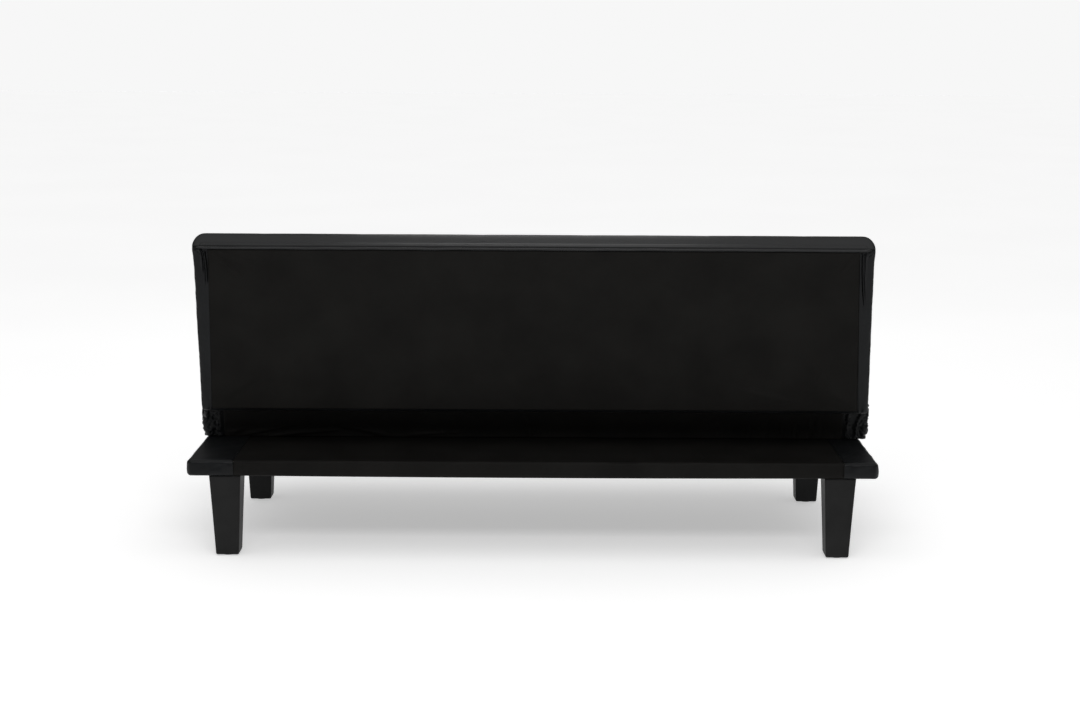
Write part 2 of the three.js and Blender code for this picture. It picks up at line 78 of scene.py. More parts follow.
def lying(node):
    """A CAD node's points in the frame of the back cushion when it lies flat."""
    turn = np.array(UPRIGHT.inverted())
    points = np.array([v.co for v in frame["nodes"][node].data.vertices])
    return points @ turn[:3, :3].T + turn[:3, 3]


SEAT = span("seat_cover")
BASE = span("base_cover_centre")
BASE_END = span("base_cover_right")
back_points = lying("back_cover")
BACK = [back_points.min(0), back_points.max(0)]
ARMS = [span("hinge_upper_arm_right"), span("hinge_lower_arm_right")]
EYE = np.ptp(span("hinge_pin_right"), 0)[1] / 2 + 8 * MM  # radius of a hinge arm's round end
SLOT_INNER = min(arm[0][0] for arm in ARMS) - 6.5 * MM  # the slots that the hinge arms stand in
SLOT_OUTER = max(arm[1][0] for arm in ARMS) + 6 * MM

# How the covers are sewn
PANELS_ACROSS = 6
PANELS_DEEP = 2
VALLEY_DEPTH = 9 * MM  # how far a sewn line sinks into the face
VALLEY_WIDTH = 13 * MM
CROWN = 5 * MM  # how far the middle of a panel stands up before the cushion is filled
CROWN_RUN = 60 * MM  # over this distance from a sewn line or from the cushion's end
SEAM_FADE = 26 * MM  # each end of a valley fades in over twice this
SEAM_INSET = 34 * MM  # where the sewn lines stop short of the cushion's edges
HINGE_INSET = 66 * MM  # and of its edge at the hinge
TURN_TOP = 37 * MM  # vinyl turned onto the back's rear face, at the top of each side
TURN_LOW = 26 * MM  # and at the bottom
SEAM_DOWN = 11.5 * MM  # from the back's highest line to the seam at its rear edge
TOP_DROP = 6.5 * MM  # how far the stuffed top slopes down to that seam
BACK_TAPER = 7 * MM  # each side of the back leans in by this much
CORNER_STUFFING = 9 * MM  # how far the back's top corners bulge sideways
GRID = 9 * MM  # mesh spacing of a cushion before subdivision
SWELL_CAP = 24 * MM  # the furthest that a point moves as a cushion swells


# Mesh tools

def ramp(low, high, value):
    """Smooth change from 0 at low to 1 at high, where low may be the larger."""
    t = np.clip((value - low) / (high - low), 0, 1)
    return t * t * (3 - 2 * t)


def bell(distance, width):
    return np.exp(-np.square(distance / width))


def hump(low, high, value):
    """1 half-way between low and high, and 0 at both."""
    return 1 - np.square(2 * (value - low) / (high - low) - 1)


def put(points, place):
    """Points moved by a 4 x 4 matrix."""
    m = np.array(place)
    return points @ m[:3, :3].T + m[:3, 3]


def xyz(x, y, z):
    """Points from their coordinates, each a list or one value for all."""
    return np.stack(np.broadcast_arrays(x, y, z), -1)


def add_object(name, data):
    made = bpy.data.objects.new(name, data)
    scene.collection.objects.link(made)
    return made


def add_mesh(name, points, faces, material=None):
    """A new object. faces is an array, or a list where they have unequal numbers of corners."""
    mesh = bpy.data.meshes.new(name)
    mesh.from_pydata(points.tolist(), [], faces if isinstance(faces, list) else faces.tolist())
    if material:
        mesh.materials.append(material)
    return add_object(name, mesh)


def add_piece(name, points, faces, body, material, place=FLAT, thickness=0, offset=-1):
    """A smooth-shaded piece of the sofa that rides on a body, made thick if it is a sheet."""
    made = add_mesh(name, put(points, place), faces, material)
    made.data.shade_smooth()
    if thickness:
        solid = made.modifiers.new("thickness", "SOLIDIFY")
        solid.thickness = thickness
        solid.offset = offset
    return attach(made, body)


def settle(obj):
    """Applies an object's modifiers and gives its mesh."""
    evaluated = obj.evaluated_get(bpy.context.evaluated_depsgraph_get())
    final = bpy.data.meshes.new_from_object(evaluated)
    obj.modifiers.clear()
    obj.data = final
    return final


def coords(mesh):
    co = np.empty(len(mesh.vertices) * 3)
    mesh.vertices.foreach_get("co", co)
    return co.reshape(-1, 3)


def stations(low, high, step, edge, fine):
    """Values from low to high, about step apart, and fine apart within edge of either end."""
    ends = np.linspace(0, edge, max(2, round(edge / fine) + 1))
    middle = np.linspace(low + edge, high - edge, max(2, round((high - low - 2 * edge) / step) + 1))
    return np.concatenate([low + ends[:-1], middle, (high - ends[:-1])[::-1]])


def quads_of(ids):
    """The quads of a grid of point numbers."""
    quads = np.stack([ids[:-1, :-1], ids[1:, :-1], ids[1:, 1:], ids[:-1, 1:]], -1)
    return quads.reshape(-1, 4)


def tube_quads(ids):
    """The quads between closed rings of point numbers."""
    return quads_of(np.column_stack([ids, ids[:, 0]]))


def box_grid(xs, ys, zs):
    """The surface of a box as a closed grid of quads."""
    lattice = np.stack(np.meshgrid(xs, ys, zs, indexing="ij"), axis=-1)
    skin = np.zeros(lattice.shape[:3], bool)
    for axis in range(3):
        np.moveaxis(skin, axis, 0)[[0, -1]] = True
    ids = np.full(skin.shape, -1)
    ids[skin] = np.arange(skin.sum())
    faces = []
    for axis in range(3):
        layers = np.moveaxis(ids, axis, 0)
        for layer, low in ((layers[0], True), (layers[-1], False)):
            quads = quads_of(layer)
            faces.append(quads if low == (axis == 1) else quads[:, ::-1])
    return lattice[skin], np.concatenate(faces)


def round_edges(points, axes, lo, hi, radii):
    """Rounds the four edges of a box that run along the third axis. radii are for the corners
    (low, low), (high, low), (high, high) and (low, high) of the two axes."""
    out = points.copy()
    for ends, r in zip(((0, 0), (1, 0), (1, 1), (0, 1)), radii):
        depth = [
            hi[k] - points[:, k] if end else points[:, k] - lo[k] for k, end in zip(axes, ends)
        ]
        near = (depth[0] < r) & (depth[1] < r)
        s, t = ((r - d[near]) / r for d in depth)
        for k, end, a, b in zip(axes, ends, (s, t), (t, s)):
            inside = r - r * a * np.sqrt(1 - b * b / 2)
            out[near, k] = hi[k] - inside if end else lo[k] + inside
    return out


def sheet_grid(us, vs):
    """Two flat lists of grid values, and the quads that join them."""
    u, v = np.meshgrid(us, vs, indexing="ij")
    return u.ravel(), v.ravel(), quads_of(np.arange(u.size).reshape(u.shape))


def steps(low, high, step):
    return np.linspace(low, high, max(2, round((high - low) / step) + 1))


def used_only(points, faces):
    """Drops the points that no face uses."""
    used, packed = np.unique(faces, return_inverse=True)
    return points[used], packed.reshape(faces.shape)


def surface_of(obj):
    """A tree of an object's final surface, for resting other pieces on it."""
    return BVHTree.FromObject(obj, bpy.context.evaluated_depsgraph_get())


def hug(points, tree, lift):
    """Moves points onto a surface, lifted off it by lift metres each."""
    out = np.empty_like(points)
    for n, point in enumerate(points):
        place, normal, _, _ = tree.find_nearest(Vector(point))
        out[n] = place + normal * float(lift[n])
    return out


# Shapes that cloth takes

def ripple(u, v, length, seed, stretch=1.0):
    """Smooth random height between about -1 and 1, with waves of about that length."""
    rng = np.random.default_rng(seed)
    height = np.zeros_like(u)
    waves = 9
    for _ in range(waves):
        angle = rng.uniform(0, 2 * math.pi)
        k = 2 * math.pi / (length * rng.uniform(0.7, 1.5))
        phase = rng.uniform(0, 2 * math.pi)
        height += np.cos(k * (u * math.cos(angle) * stretch + v * math.sin(angle)) + phase)
    return height / math.sqrt(waves)


def fold(u, v, start, end, width, height, lean=0.0):
    """A soft fold along a line: a ridge that fades at both ends, with a valley beside it."""
    along = np.subtract(end, start)
    run = np.hypot(*along)
    along = along / run
    u, v = u - start[0], v - start[1]
    t = (u * along[0] + v * along[1]) / run
    side = (v * along[0] - u * along[1]) / width
    fade = np.sin(math.pi * np.clip(t, 0, 1)) ** 0.7
    return height * fade * (bell(side, 1.0) - lean * bell(side - 1.6, 0.9))


def folds(u, v, lean, rows):
    """Several folds. Each row is a corner in metres and then, in millimetres, where the fold
    starts and ends from that corner, its width and its height."""
    height = 0
    for corner, start, end, width, tall in rows:
        start, end = np.add(corner, mm(*start)), np.add(corner, mm(*end))
        height = height + fold(u, v, start, end, width * MM, tall * MM, lean)
    return height


def crumple(points, size, seed):
    """Sharp-edged random height from 0 to 1, as in a knot of gathered cloth."""
    shift = Vector((seed * 3.1, seed * 1.7, seed * 2.3))
    heights = []
    for point in map(Vector, points):
        coarse, fine = noise.noise(point / size + shift), noise.noise(point * 2.3 / size)
        heights.append(1 - abs(coarse * 1.6 + fine * 0.5))
    return np.clip(heights, 0, 1)


# Materials

def new_material(name, roughness, specular=0.5, metallic=0.0):
    material = bpy.data.materials.new(name)
    material.use_nodes = True
    shader = material.node_tree.nodes["Principled BSDF"]
    shader.inputs["Roughness"].default_value = roughness
    shader.inputs["Specular IOR Level"].default_value = specular
    shader.inputs["Metallic"].default_value = metallic
    return material, material.node_tree, shader


def node(tree, kind, options=None, **sockets):
    made = tree.nodes.new("ShaderNode" + kind)
    for key, value in (options or {}).items():
        setattr(made, key, value)
    for key, value in sockets.items():
        socket = made.inputs[key.replace("_", " ")]
        if isinstance(value, bpy.types.NodeSocket):
            tree.links.new(value, socket)
        else:
            socket.default_value = value
    return made


def place_of(tree, scale=(1, 1, 1)):
    """Coordinates in the object's own metres, stretched by scale."""
    where = node(tree, "TexCoord").outputs["Object"]
    return node(tree, "Mapping", Vector=where, Scale=scale).outputs["Vector"]


def grey(value, tint=(1, 1, 1)):
    return tuple(value * t for t in tint) + (1,)


def blend(tree, shader, share, dark, light, low=0.0, high=1.0):
    """A colour that goes from dark to light as share goes from low to high."""
    tones = node(tree, "ValToRGB", Fac=share)
    for stop, place, tone in zip(tones.color_ramp.elements, (low, high), (dark, light)):
        stop.position, stop.color = place, tone
    tree.links.new(tones.outputs["Color"], shader.inputs["Base Color"])
    return share


def two_tone(tree, shader, dark, light, scale, low=0.35, high=0.65):
    """Cloudy change between two colours."""
    cloud = node(tree, "TexNoise", Vector=place_of(tree), Scale=scale, Detail=5.0)
    return blend(tree, shader, cloud.outputs["Fac"], dark, light, low, high)


def vary_roughness(tree, shader, value, low, high):
    spread = node(tree, "MapRange", Value=value)
    spread.inputs["To Min"].default_value = low
    spread.inputs["To Max"].default_value = high
    tree.links.new(spread.outputs["Result"], shader.inputs["Roughness"])


def bumps(tree, shader, *layers):
    """Stacks bump maps, each a (height, strength, distance) layer."""
    normal = None
    for height, strength, distance in layers:
        bump = node(tree, "Bump", Height=height, Strength=strength, Distance=distance)
        if normal is not None:
            tree.links.new(normal, bump.inputs["Normal"])
        normal = bump.outputs["Normal"]
    tree.links.new(normal, shader.inputs["Normal"])


def make_vinyl(name, specular):
    """Black faux leather: pebbled grain, faint creases and a soft cool sheen."""
    material, tree, shader = new_material(name, 0.4, specular)
    cool = (0.93, 1, 1.1)
    cloud = two_tone(tree, shader, grey(0.0048, cool), grey(0.008, cool), 7.0)
    vary_roughness(tree, shader, cloud, 0.3, 0.42)
    where = place_of(tree)
    pebbles = node(tree, "TexVoronoi", Vector=where, Scale=720.0)
    warp = node(tree, "TexNoise", Vector=where, Scale=150.0, Detail=4.0, Distortion=0.6)
    grain = (pebbles.outputs["Distance"], 0.3, 0.25 * MM)
    bumps(tree, shader, (warp.outputs["Fac"], 0.25, 0.6 * MM), grain)
    return material


def make_cloth(name, dark, light, specular):
    """Thin black upholstery cloth: plain weave, flat and slightly mottled."""
    material, tree, shader = new_material(name, 0.6, specular)
    dark, light = grey(dark, (1.08, 1.0, 0.9)), grey(light, (1.06, 1.0, 0.9))
    two_tone(tree, shader, dark, light, 9.0, 0.3, 0.7)
    where = place_of(tree)
    weave = []
    for direction in ("X", "Z"):
        options = {"bands_direction": direction}
        thread = node(tree, "TexWave", options, Vector=where, Scale=190.0, Distortion=0.6)
        weave.append(thread.outputs["Fac"])
    over = node(tree, "Math", {"operation": "MAXIMUM"})
    tree.links.new(weave[0], over.inputs[0])
    tree.links.new(weave[1], over.inputs[1])
    slub = node(tree, "TexNoise", Vector=place_of(tree, (40, 220, 220)), Scale=1.0, Detail=3.0)
    bumps(tree, shader, (over.outputs[0], 0.35, 0.3 * MM), (slub.outputs["Fac"], 0.2, 0.4 * MM))
    return material


def make_plastic():
    """Moulded satin black leg plastic."""
    material, tree, shader = new_material("leg_plastic", 0.42, 0.05)
    cloud = two_tone(tree, shader, grey(0.016), grey(0.021), 12.0)
    vary_roughness(tree, shader, cloud, 0.36, 0.5)
    spark = node(tree, "TexNoise", Vector=place_of(tree), Scale=1400.0, Detail=2.0)
    bumps(tree, shader, (spark.outputs["Fac"], 0.2, 0.15 * MM))
    return material


def make_wood(name, dark, light, roughness):
    """Sawn wood with grain lines along its length."""
    material, tree, shader = new_material(name, roughness, 0.3)
    stretched = place_of(tree, (3, 60, 60))
    grain = node(tree, "TexWave", Vector=stretched, Scale=1.2, Distortion=6.0, Detail=3.0)
    lines = blend(tree, shader, grain.outputs["Fac"], dark, light)
    bumps(tree, shader, (lines, 0.2, 0.5 * MM))
    return material


def make_metal(name, tone, roughness, scale):
    """Plated or rolled metal with fine directional scratches."""
    material, tree, shader = new_material(name, roughness, 0.5, 1.0)
    cloud = two_tone(tree, shader, grey(tone * 0.8), grey(tone), 40.0)
    vary_roughness(tree, shader, cloud, roughness - 0.08, roughness + 0.1)
    lines = node(tree, "TexNoise", Vector=place_of(tree, (1, scale, 1)), Scale=60.0, Detail=4.0)
    bumps(tree, shader, (lines.outputs["Fac"], 0.15, 0.1 * MM))
    return material


def make_felt():
    material, tree, shader = new_material("felt", 0.95, 0.1)
    hairs = two_tone(tree, shader, grey(0.02), grey(0.05), 900.0)
    bumps(tree, shader, (hairs, 0.5, 0.5 * MM))
    return material


def make_thread():
    """Black sewing thread, twisted."""
    material, tree, shader = new_material("thread", 0.55, 0.3)
    two_tone(tree, shader, grey(0.012), grey(0.022), 500.0)
    ply = node(tree, "TexWave", Vector=place_of(tree), Scale=900.0, Distortion=1.0)
    bumps(tree, shader, (ply.outputs["Fac"], 0.3, 0.1 * MM))
    return material


VINYL = make_vinyl("vinyl", 0.13)
PIPING = make_vinyl("vinyl_piping", 0.3)
CLOTH = make_cloth("cloth", 0.0045, 0.0075, 0.08)
DUST = make_cloth("dust_cloth", 0.005, 0.009, 0.08)
# near-black cloth for the cords laid in the pleat grooves: painted shade, standing in for the
# shadow inside each pleat
PLEAT_SHADE = make_cloth("pleat_shade_cloth", 0.0008, 0.0014, 0.01)
PLASTIC = make_plastic()
TIMBER = make_wood("timber", grey(0.42, (1.1, 0.8, 0.5)), grey(0.55, (1.1, 0.85, 0.58)), 0.7)
PLYWOOD = make_wood("plywood", grey(0.45, (1.1, 0.85, 0.6)), grey(0.55, (1.1, 0.9, 0.68)), 0.65)
STEEL = make_metal("steel", 0.35, 0.4, 30)
ZINC = make_metal("zinc", 0.6, 0.3, 10)
FELT = make_felt()
THREAD = make_thread()

CAD_FINISH = (  # each material and how the names of its CAD nodes start
    (TIMBER, ("base_rail", "seat_board", "back_board")),
    (PLYWOOD, ("base_deck", "seat_slat", "back_slat")),
    (STEEL, ("leg_plate", "hinge_lower_arm", "hinge_upper_arm")),
    (ZINC, ("leg_bolt", "hinge_pin", "hinge_screw")),
    (FELT, ("glide",)),
)
EDGE_BEVEL = 0.4 * MM


def finish_cad():
    """Gives the CAD nodes that stay in view their materials, and the steel and zinc ones softened
    edges.
    """
    for material, starts in CAD_FINISH:
        for name, obj in frame["nodes"].items():
            if name.startswith(starts):
                obj.data.materials.clear()
                obj.data.materials.append(material)
                if material in (STEEL, ZINC):
                    bevel = obj.modifiers.new("softened", "BEVEL")
                    bevel.width = EDGE_BEVEL
                    bevel.segments = 2


# Cushions

PRESSURE = 4.0
SHRINK = -0.025  # a cover is cut a little larger than its filling
SIM_FRAMES = 20


def inflate(points, faces, held):
    """Cloth simulation of a closed cover blown up by its filling. Held points stay put."""
    cover = add_mesh("cover", points, faces)
    group = cover.vertex_groups.new(name="held")
    group.add(np.flatnonzero(held).tolist(), 1.0, "REPLACE")
    cloth = cover.modifiers.new("cloth", "CLOTH")
    cloth.settings.vertex_group_mass = "held"
    cloth.settings.use_pressure = True
    cloth.settings.uniform_pressure_force = PRESSURE
    cloth.settings.shrink_min = SHRINK
    cloth.settings.effector_weights.gravity = 0
    cloth.collision_settings.use_collision = False
    for step in range(1, SIM_FRAMES + 1):
        scene.frame_set(step)
    swollen = coords(cover.evaluated_get(bpy.context.evaluated_depsgraph_get()).data)
    bpy.data.objects.remove(cover)
    scene.frame_set(1)
    return swollen


def seam_lines(lo, hi):
    """The x of each sewn line across the face, and the y of each one along it."""
    across = np.linspace(lo[0], hi[0], PANELS_ACROSS + 1)[1:-1]
    along = np.linspace(lo[1], hi[1], PANELS_DEEP + 1)[1:-1]
    return across, along


def panel_stations(low, high, panels):
    """Grid values that put a line of points on every sewn line."""
    per_panel = max(4, round((high - low) / panels / GRID))
    return np.linspace(low, high, panels * per_panel + 1)


def unfilled(box):
    """The corners of a cushion before its filling swells it to the CAD box."""
    lo, hi = box[0] + 0.5 * MM, box[1] - 0.5 * MM
    lo[2], hi[2] = box[0][2], box[1][2] - 3 * MM
    return lo, hi


def cushion(name, lo, hi, board, radii, hinge_end, runs, shape, place, body):
    """A crowned cushion whose sewn face looks up along its own +Z. radii gives the roundings of
    its (y, z) and (x, z) sections, and of its plan at the underside and at the sewn face. board
    is the top of its timber, and runs are the lengths of Y over which its swelling sets in.
    shape(points, x, y, z, soft, end) bends the filled form: x, y and z are the plain box, soft
    is 1 above the timber and end grows to 1 or -1 at the cushion's ends. The sewn lines stop
    sooner at hinge_end (0 or 1, the low or high end of Y), so that both cushions meet there."""
    xs = panel_stations(lo[0], hi[0], PANELS_ACROSS)
    ys = panel_stations(lo[1], hi[1], PANELS_DEEP)
    zs = stations(lo[2], hi[2], GRID, 8 * MM, 4 * MM)
    box, faces = box_grid(xs, ys, zs)
    x, y, z = box.T
    points = round_edges(box, (1, 2), lo, hi, radii[0])
    points = round_edges(points, (0, 2), lo, hi, radii[1])
    rise = ramp(lo[2], hi[2], points[:, 2:])
    under, over = (round_edges(points, (0, 1), lo, hi, set_of) for set_of in radii[2:])
    points = under + (over - under) * rise
    across, along = seam_lines(lo, hi)
    on_top = z > hi[2] - MM / 10
    low_end, high_end = (HINGE_INSET if hinge_end == end else SEAM_INSET for end in (0, 1))
    inside = (x > lo[0] + SEAM_INSET) & (x < hi[0] - SEAM_INSET)
    inside &= (y > lo[1] + low_end) & (y < hi[1] - high_end)
    to_seam = np.minimum(
        np.abs(x[:, None] - across).min(1),
        np.abs(y[:, None] - along).min(1),
    )
    fade = ramp(0, CROWN_RUN, x - lo[0]) * ramp(0, CROWN_RUN, hi[0] - x)
    fade *= ramp(low_end - SEAM_FADE, low_end + SEAM_FADE, y - lo[1])
    fade *= ramp(high_end - SEAM_FADE, high_end + SEAM_FADE, hi[1] - y)
    crown = CROWN * (1 - bell(to_seam, CROWN_RUN))
    points[:, 2] += on_top * fade * (crown - VALLEY_DEPTH * bell(to_seam, VALLEY_WIDTH))
    sewn = on_top & inside & (to_seam < MM / 10)
    moved = inflate(points, faces, sewn | (z < lo[2] + MM / 10)) - points
    far = np.linalg.norm(moved, axis=1, keepdims=True)
    moved *= np.minimum(1, SWELL_CAP / np.maximum(far, 1e-9))
    swell = ramp(board - 20 * MM, hi[2], z)
    for start, end in runs:
        swell *= ramp(start, end, y)
    points = points + moved * swell[:, None]
    soft = ramp(board - 10 * MM, board + 25 * MM, z)
    shape(points, x, y, z, soft, np.sign(x) * (np.abs(x) / hi[0]) ** 8)
    made = add_piece(name, points, faces, body, VINYL, place)
    made.modifiers.new("smooth", "SUBSURF").levels = 1
    settle(made)
    cut_slots(made, place)
    return made


def cut_slots(obj, place):
    """Opens the slots that the hinge arms reach through, at both ends."""
    reach = EYE + 1.5 * MM
    if place is FLAT:
        lo, hi = PIVOT + Vector((0, -reach, -reach)), PIVOT + Vector((0, 40 * MM, reach))
    else:
        lo, hi = Vector((0, -40 * MM, -28 * MM)), Vector((0, reach, 14 * MM))
    for _, side in SIDES:
        ends = sorted((side * SLOT_INNER, side * SLOT_OUTER))
        points, faces = box_grid(np.array(ends), np.array([lo[1], hi[1]]), np.array([lo[2], hi[2]]))
        cutter = add_mesh("cutter", put(points, place), faces)
        cut = obj.modifiers.new("slot", "BOOLEAN")
        cut.operation = "DIFFERENCE"
        cut.solver = "MANIFOLD"
        cut.object = cutter
        settle(obj)
        bpy.data.objects.remove(cutter)


def make_seat():
    lo, hi = unfilled(SEAT)
    board = span("seat_board_front")[1][2]

    def shape(points, x, y, z, soft, end):
        points[:, 0] -= 5 * MM * soft * hump(lo[1], hi[1], y) * end
        near_front = ramp(lo[1] + 100 * MM, lo[1], y)
        points[:, 1] += 5 * MM * soft * hump(lo[0], hi[0], x) * near_front

    plan = mm(22, 22, 9, 9)
    radii = (mm(5, 4, 36, 40), mm(5, 5, 28, 28), plan, plan)
    runs = [(hi[1] + 6 * MM, hi[1] - 70 * MM)]
    made = cushion("seat_cushion", lo, hi, board, radii, 1, runs, shape, FLAT, BASE_BODY)
    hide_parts("seat_cover", "seat_foam")
    return made


def back_half(y, side=0):
    """Half the back cushion's width at a height above the hinge axis. Its stuffing makes the
    bottom a little fuller at the left end than at the right one."""
    rise = np.clip((y - BACK[0][1]) / (BACK[1][1] - BACK[0][1]), 0, 1)
    lean = np.where(np.asarray(side) > 0, -3 * MM, 6 * MM) * (np.asarray(side) != 0)
    return BACK[1][0] - BACK_TAPER * rise + lean * (1 - rise)


def turn_width(y):
    """Width of the vinyl strip beside the rear cloth, at a height above the hinge axis."""
    rise = np.clip((y - BACK[0][1]) / (BACK[1][1] - BACK[0][1]), 0, 1)
    return TURN_LOW + (TURN_TOP - TURN_LOW) * rise


def make_back():
    lo, hi = unfilled(BACK)
    board = lying("back_board_top")[:, 2].max()

    def shape(points, x, y, z, soft, end):
        points[:, 0] *= back_half(points[:, 1], np.sign(x)) / BACK[1][0]
        points[:, 0] -= 4 * MM * soft * hump(lo[1], hi[1], y) * end
        near_top = ramp(hi[1] - 70 * MM, hi[1], y)
        points[:, 1] -= TOP_DROP * near_top * ramp(-15 * MM, lo[2], z)
        through = np.clip((z - lo[2]) / (hi[2] - lo[2]), 0, 1)
        corner = ramp(hi[1] - 45 * MM, hi[1] - 8 * MM, y)
        points[:, 0] += CORNER_STUFFING * corner * np.sin(math.pi * through ** 0.8) * end

    radii = (mm(12, 7, 36, 36), mm(8, 8, 20, 20), mm(7, 7, 8, 8), mm(16, 16, 18, 18))
    runs = [(lo[1] - 6 * MM, lo[1] + 70 * MM), (hi[1] + 10 * MM, hi[1] - 50 * MM)]
    made = cushion("back_cushion", lo, hi, board, radii, 0, runs, shape, UPRIGHT, BACK_BODY)
    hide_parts("back_cover", "back_foam")
    return made


# Sewing thread

STITCH_LENGTH = 4.2 * MM
STITCH_PITCH = 6 * MM
STITCH_RADIUS = 0.5 * MM
STITCH_LIFT = 0.2 * MM  # off the surface


def stitches(name, lines, tree, body, place):
    """Thread dashes along lines of points, laid on a surface."""
    rings, sides = 4, 6
    turn = np.linspace(0, 2 * math.pi, sides, endpoint=False)
    swell = np.array([0.35, 1.0, 1.0, 0.35])
    along = np.array([-0.5, -0.3, 0.3, 0.5]) * STITCH_LENGTH
    dip = np.array([-0.5, 0.4, 0.4, -0.5]) * STITCH_RADIUS
    ids = np.arange(rings * sides).reshape(rings, sides)
    walls = tube_quads(ids)[:, [0, 3, 2, 1]]
    ends = [ids[0][::-1].tolist(), ids[-1].tolist()]
    points, faces = [], []
    for line in map(np.array, lines):
        gaps = np.linalg.norm(np.diff(line, axis=0), axis=1)
        far = np.concatenate([[0], np.cumsum(gaps)])
        for at in np.arange(STITCH_PITCH / 2, far[-1], STITCH_PITCH):
            middle, ahead = (
                Vector(put(np.float32([np.interp(at + d, far, v) for v in line.T]), place))
                for d in (0, MM)
            )
            spot, normal, _, _ = tree.find_nearest(middle)
            to = ahead - middle
            to = (to - normal * to.dot(normal)).normalized()
            across = normal.cross(to)
            base = len(points)
            for k in range(rings):
                centre = spot + to * along[k] + normal * (STITCH_LIFT + dip[k])
                for angle in turn:
                    out = across * math.cos(angle) + normal * math.sin(angle)
                    points.append(centre + out * STITCH_RADIUS * swell[k])
            faces += (walls + base).tolist()
            faces += [[i + base for i in end] for end in ends]
    add_piece(name, np.array(points), faces, body, THREAD)


def face_stitching(name, lo, hi, hinge_end, tree, body, place):
    """Two rows of thread beside every sewn line of a cushion's face."""
    across, along = seam_lines(lo, hi)
    beside = 3.5 * MM
    inset = SEAM_INSET + 8 * MM
    low_y = lo[1] + (HINGE_INSET if hinge_end == 0 else inset)
    high_y = hi[1] - (HINGE_INSET if hinge_end == 1 else inset)
    down_face = steps(low_y, high_y, 20 * MM)
    across_face = steps(lo[0] + inset, hi[0] - inset, 20 * MM)
    lines = []
    for side in (-beside, beside):
        lines += [[(x + side, y, hi[2]) for y in down_face] for x in across]
        lines += [[(x, y + side, hi[2]) for x in across_face] for y in along]
    stitches(name, lines, tree, body, place)


# The back's rear face

REAR_Z = BACK[0][2]
PIPING_RADIUS = 2.9 * MM
WELT_Y = BACK[1][1] - SEAM_DOWN
TOP_EDGE_Y = BACK[1][1] - TOP_DROP


def rear_panel():
    """Black cloth stretched over the back's rear face, with the slack that such a panel has."""
    low = BACK[0][1] + 11 * MM
    high = WELT_Y + 1 * MM
    s, y, faces = sheet_grid(steps(-1, 1, 0.0065), stations(low, high, 5 * MM, 16 * MM, 1.6 * MM))
    half = back_half(y) - turn_width(y) + 4 * MM
    x = s * half
    edge = np.minimum(half - np.abs(x), np.minimum(y - low, high - y))
    away = ramp(0, 45 * MM, edge)
    lift = 0.8 * MM + away * MM * (0.55 * ripple(x, y, 0.23, 3) + 0.3 * ripple(x, y, 0.09, 4))
    from_seam = high - y
    near_seam = ramp(60 * MM, 6 * MM, from_seam) * ramp(0, 8 * MM, from_seam)
    lift += 0.35 * MM * near_seam * ripple(x, y * 0.2, 0.022, 5)
    lift += 1.7 * MM * ramp(34 * MM, 12 * MM, from_seam)
    lift *= ramp(3.4 * MM, 7 * MM, from_seam)
    right, top = half[y > high - MM].max(), high
    creases = (
        ((right, top), (-4, -1), (-82, -76), 3.8, 4.4),
        ((right, top), (-12, -2), (-130, -52), 6, 2.0),
        ((-right, top), (6, -4), (52, -66), 4, 2.6),
        ((-right, low), (130, 20), (290, 60), 7, 1.2),
        ((-right, low), (6, 24), (70, 60), 5, 1.3),
        ((-right, low), (20, 150), (110, 34), 8, 1.0),
        ((right, low), (-10, 20), (-120, 95), 7, 1.0),
    )
    lift += folds(x, y, 0.6, creases)
    points = xyz(x, y, REAR_Z - np.maximum(lift, 0.15 * MM))
    faces = faces[:, ::-1]
    made = add_piece("back_rear_panel", points, faces, BACK_BODY, CLOTH, UPRIGHT, 0.6 * MM)
    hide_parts("back_rear_cloth")


PLEATS = {  # mm: in from the edge at the top and at the foot, reach down, and half the width of the near-black cord of painted shade laid in its groove
    1: ((-20, -22, 75, 2.0), (-24.5, -26, 110, 0), (-29, -31, 105, 2.4)),
    -1: ((-31, -19, 165, 2.8), (-26.5, -16, 150, 0), (-22, -20, 70, 0)),
}
PLEAT_BEND = 3 * MM


def pleat_line(pleat, down):
    """How far in from the back's edge a pleat runs, at a distance below the top seam."""
    top_at, low_at, reach = mm(*pleat[:3])
    bend = np.sin(math.pi * np.clip(down / reach, 0, 1))
    return top_at + (low_at - top_at) * down / reach - PLEAT_BEND * bend


def side_turn(name, side, tree):
    """The cover's side turned onto the rear face: gathered in a knot at the top, with pleats
    running down from it."""
    low, high = BACK[0][1] + 6 * MM, WELT_Y + 1 * MM
    outer = 12 * MM
    a, y, faces = sheet_grid(steps(-TURN_TOP, outer, 1 * MM), steps(low, high, 1.8 * MM))
    width = turn_width(y)
    inward = np.minimum(a, 0) * width / TURN_TOP
    down = high - y
    knot = bell(inward + 20 * MM, 13 * MM) * bell(down - 8 * MM, 8 * MM)
    free = ramp(outer, outer - 8 * MM, a)
    hem = bell(inward + width - 2.5 * MM, 2.2 * MM)
    rough = ripple(a * 2.2, y, 0.05, 11 + side) * 0.3 + ripple(a, y, 0.014, 15 + side) * 0.12
    lift = (0.9 + rough) * MM + 0.5 * MM * hem
    for pleat in PLEATS[side]:
        reach = pleat[2] * MM
        run = ramp(5 * MM, 14 * MM, down) * ramp(reach, reach * 0.5, down)
        off = inward - pleat_line(pleat, down)
        lift += run * MM * (3.4 * bell(off, 5 * MM) - 8.5 * bell(off, 1.4 * MM))
    flat = xyz(side * (back_half(y, side) + inward), y, REAR_Z + np.maximum(a, 0))
    lift += knot * free * 8 * MM * (crumple(flat, 9 * MM, 2 + side) - 0.25)
    lift = np.maximum(lift, 0.2 * MM) * (0.15 + 0.85 * free)
    world = hug(put(flat, UPRIGHT), tree, lift)
    faces = faces[:, ::-side]
    made = add_piece(name, world, faces, BACK_BODY, VINYL, FLAT, 0.8 * MM, 0)


